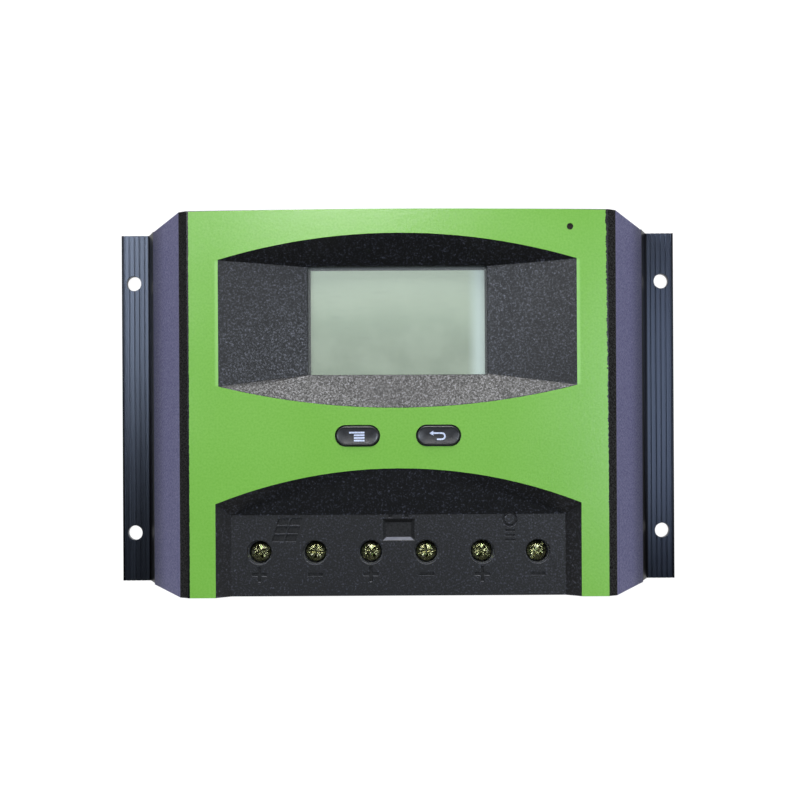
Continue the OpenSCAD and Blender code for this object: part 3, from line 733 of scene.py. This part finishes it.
THREAD_PITCH = 0.8 * MM
THREAD_DEPTH = 0.22 * MM
RIB_COUNT = 12
RIB_DEPTH = 0.14 * MM
HEAD_POINTS = 144
SHANK_POINTS = 40

TERMINAL_HEAD_H = 2.1 * MM
TERMINAL_SHANK_R = 2 * MM
COVER_HEAD_R = 3 * MM
COVER_HEAD_H = 2.2 * MM
COVER_SHANK_R = 1.45 * MM


# Outline of a screw head: shares of its radius and of its height
HEAD_PROFILE = (
    (0.90, 0), (0.985, 0.05), (1, 0.15), (1, 0.50), (0.985, 0.64),
    (0.93, 0.77), (0.82, 0.87), (0.6, 0.95), (0.3, 0.99),
)


def head_mesh(radius, z, top):
    """Low domed screw head as a closed lathe, with fine radial ribs on its crown."""
    mesh = bmesh.new()
    rings = []
    for reach, rise in HEAD_PROFILE:
        rib = RIB_DEPTH if 0.25 < reach < 0.95 and rise > 0.5 else 0
        ring = []
        for x, y, level in circle(radius * reach, z + rise * (top - z), HEAD_POINTS):
            wave = 0.5 + 0.5 * math.cos(RIB_COUNT * math.atan2(y, x))
            ring.append((x, y, level - rib * wave))
        rings.append(ring)
    skin_rings(mesh, rings)
    bmesh.ops.recalc_face_normals(mesh, faces=mesh.faces)
    data = bpy.data.meshes.new("head")
    mesh.to_mesh(data)
    mesh.free()
    return data


def tapered_bar(length, width, foot_length, foot_width, z, top):
    """Closed bar that narrows downwards, for cutting a driver recess."""
    corners = ((-1, -1), (1, -1), (1, 1), (-1, 1))

    def ring(long, wide, level):
        return [(x * long / 2, y * wide / 2, level) for x, y in corners]

    mesh = bmesh.new()
    skin_rings(mesh, [ring(foot_length, foot_width, z), ring(length, width, top)])
    return mesh


def threaded_shank(mesh, radius, z, top):
    """Helical thread by formula: the radius follows a ridge that climbs one pitch a turn."""
    rows = int((top - z) / (THREAD_PITCH / 6))
    rings = []
    for i in range(rows + 1):
        level = z + (top - z) * i / rows
        fade = min(1.0, i / 4, (rows - i) / 4)
        point = 0.05 * radius * (1 - min(1.0, i / 3))
        ring = []
        for j in range(SHANK_POINTS):
            angle = 2 * math.pi * j / SHANK_POINTS
            phase = (level / THREAD_PITCH - j / SHANK_POINTS) % 1.0
            ridge = 1 - abs(2 * phase - 1)
            r = radius - THREAD_DEPTH * (1 - ridge) * fade - point
            ring.append((r * math.cos(angle), r * math.sin(angle), level))
        rings.append(ring)
    skin_rings(mesh, rings)


def screw_mesh(name, head_r, shank_r, foot, seat, top, slotted):
    """One screw on the Z axis: head with a cross recess, and a slot across it if slotted."""
    depth = top - seat
    arm, arm_w = head_r * 1.42, head_r * 0.30
    arm_foot, arm_foot_w = arm * 0.55, head_r * 0.16
    floor, above = top - depth * 0.78, top + 0.1 * depth
    cutters = [
        tapered_bar(arm, arm_w, arm_foot, arm_foot_w, floor, above),
        tapered_bar(arm_w, arm, arm_foot_w, arm_foot, floor, above),
    ]
    if slotted:
        slot, slot_w = head_r * 2.4, head_r * 0.27
        floor, above = top - depth * 0.42, top + depth
        cutters.append(tapered_bar(slot, slot_w, slot, slot_w * 0.9, floor, above))
    data = cut_with(head_mesh(head_r, seat, top), cutters)
    mesh = bmesh.new()
    mesh.from_mesh(data)
    threaded_shank(mesh, shank_r, foot, seat + 0.05 * depth)
    mesh.to_mesh(data)
    mesh.free()
    data.validate()
    data.name = name
    return data


# Turn of each terminal screw's slot at rest, in degrees
SLOT_TURNS = (24, -4, 38, 8, -30, 52)


def terminal_screws():
    low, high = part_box("terminal_screw_1")
    seat, radius = high.z - TERMINAL_HEAD_H, (high.x - low.x) / 2
    base = screw_mesh("terminal_screw", radius, TERMINAL_SHANK_R, low.z, seat, high.z, True)
    for index, turn in enumerate(SLOT_TURNS, 1):
        node = f"terminal_screw_{index}"
        at = middle(node)
        data = base.copy()
        spin = Matrix.Rotation(math.radians(turn), 4, "Z")
        data.transform(Matrix.Translation((at.x, at.y, 0)) @ spin)
        screw = shown(f"clamp_screw_{index}", data, node, "terminal_zinc", sharp=30)
        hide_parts(node)


def back_screws():
    """Four cross-head screws that hold the cover, seen from the wall side, joined as one piece."""
    low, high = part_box("cover_screws")
    seat, flip = low.z + COVER_HEAD_H, Matrix.Rotation(math.pi, 4, "X")
    base = screw_mesh("cover_screw", COVER_HEAD_R, COVER_SHANK_R, -high.z, -seat, -low.z, False)
    mesh = bmesh.new()
    for x in (low.x + COVER_HEAD_R, high.x - COVER_HEAD_R):
        for y in (low.y + COVER_HEAD_R, high.y - COVER_HEAD_R):
            copy = base.copy()
            copy.transform(Matrix.Translation((x, y, 0)) @ flip)
            mesh.from_mesh(copy)
    screws = piece("cover_screw_set", mesh, "housing", "zinc_steel", sharp=30)
    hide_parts("cover_screws")


# ------------------------------------------------------------------ camera, light and floor

CAMERA_AT = (0.6 * MM, -11.5 * MM, FRONT_Z + 398 * MM)
CAMERA_LENS = 58.05
CAMERA_SHIFT = 0.0502
CAMERA_ROLL = -0.3
COOL = (0.80, 0.88, 1.0)
WHITE = (1, 1, 1)
LIGHT_TARGET = Vector((0, 0, 0.03))
SKY_COLOUR = (0.8, 0.9, 1.0, 1)
SKY_STRENGTH = 0.06

# Radius and height of the floor's rings
FLOOR_RINGS = ((5.0, -0.1 * MM), (5.6, 0.1), (5.9, 0.5), (6.0, 1.3))


def make_camera():
    """Looks straight down on the front, from a little below its middle."""
    data = bpy.data.cameras.new("camera")
    data.sensor_width = 36
    data.lens = CAMERA_LENS
    data.shift_y = CAMERA_SHIFT
    data.clip_start = 0.01
    camera = bpy.data.objects.new("camera", data)
    camera.location = CAMERA_AT
    camera.rotation_euler = (0, 0, math.radians(CAMERA_ROLL))
    bpy.context.scene.collection.objects.link(camera)
    bpy.context.scene.camera = camera


def softbox(name, at, size, power, colour=WHITE):
    """Rectangular light that looks at the middle of the object."""
    data = bpy.data.lights.new(name, "AREA")
    data.shape = "RECTANGLE"
    data.size, data.size_y = size
    data.energy = power
    data.color = colour
    light = bpy.data.objects.new(name, data)
    light.location = at
    aim = LIGHT_TARGET - Vector(at)
    light.rotation_euler = aim.to_track_quat("-Z", "Y").to_euler()
    bpy.context.scene.collection.objects.link(light)


def make_lights():
    """Side boxes for the slopes beside the display, a low top box for its lower slope, one glow."""
    softbox("light_left", (-0.54, 0.18, 0.91), (0.28, 0.47), 5.7, COOL)
    softbox("light_right", (0.60, 0.04, 0.88), (0.28, 0.84), 6.6, COOL)
    softbox("light_top", (0, 1.05, 0.47), (0.7, 0.5), 16)
    softbox("light_glow", (-0.06, 0.30, 1.0), (0.20, 0.16), 1.9)
    world = bpy.data.worlds.new("world")
    world.use_nodes = True
    sky = world.node_tree.nodes["Background"]
    sky.inputs[0].default_value = SKY_COLOUR
    sky.inputs[1].default_value = SKY_STRENGTH
    bpy.context.scene.world = world


def make_floor():
    """Pale, evenly bright floor just under the wall plate, that curves up far away."""
    mesh = bmesh.new()
    skin_rings(mesh, [circle(reach, level) for reach, level in FLOOR_RINGS], cap_last=False)
    data = bpy.data.meshes.new("floor")
    mesh.to_mesh(data)
    mesh.free()
    s = Surface("floor", colour=grey(0.1), roughness=1.0)
    s.set("Emission Color", grey(1.0))
    s.set("Emission Strength", 0.97)
    data.materials.append(s.material)
    floor = bpy.data.objects.new("floor", data)
    bpy.context.scene.collection.objects.link(floor)


make_camera()
make_lights()
make_floor()
dress_cad_nodes()
buttons()
terminal_screws()
back_screws()

bpy.context.scene.view_settings.view_transform = "Standard"
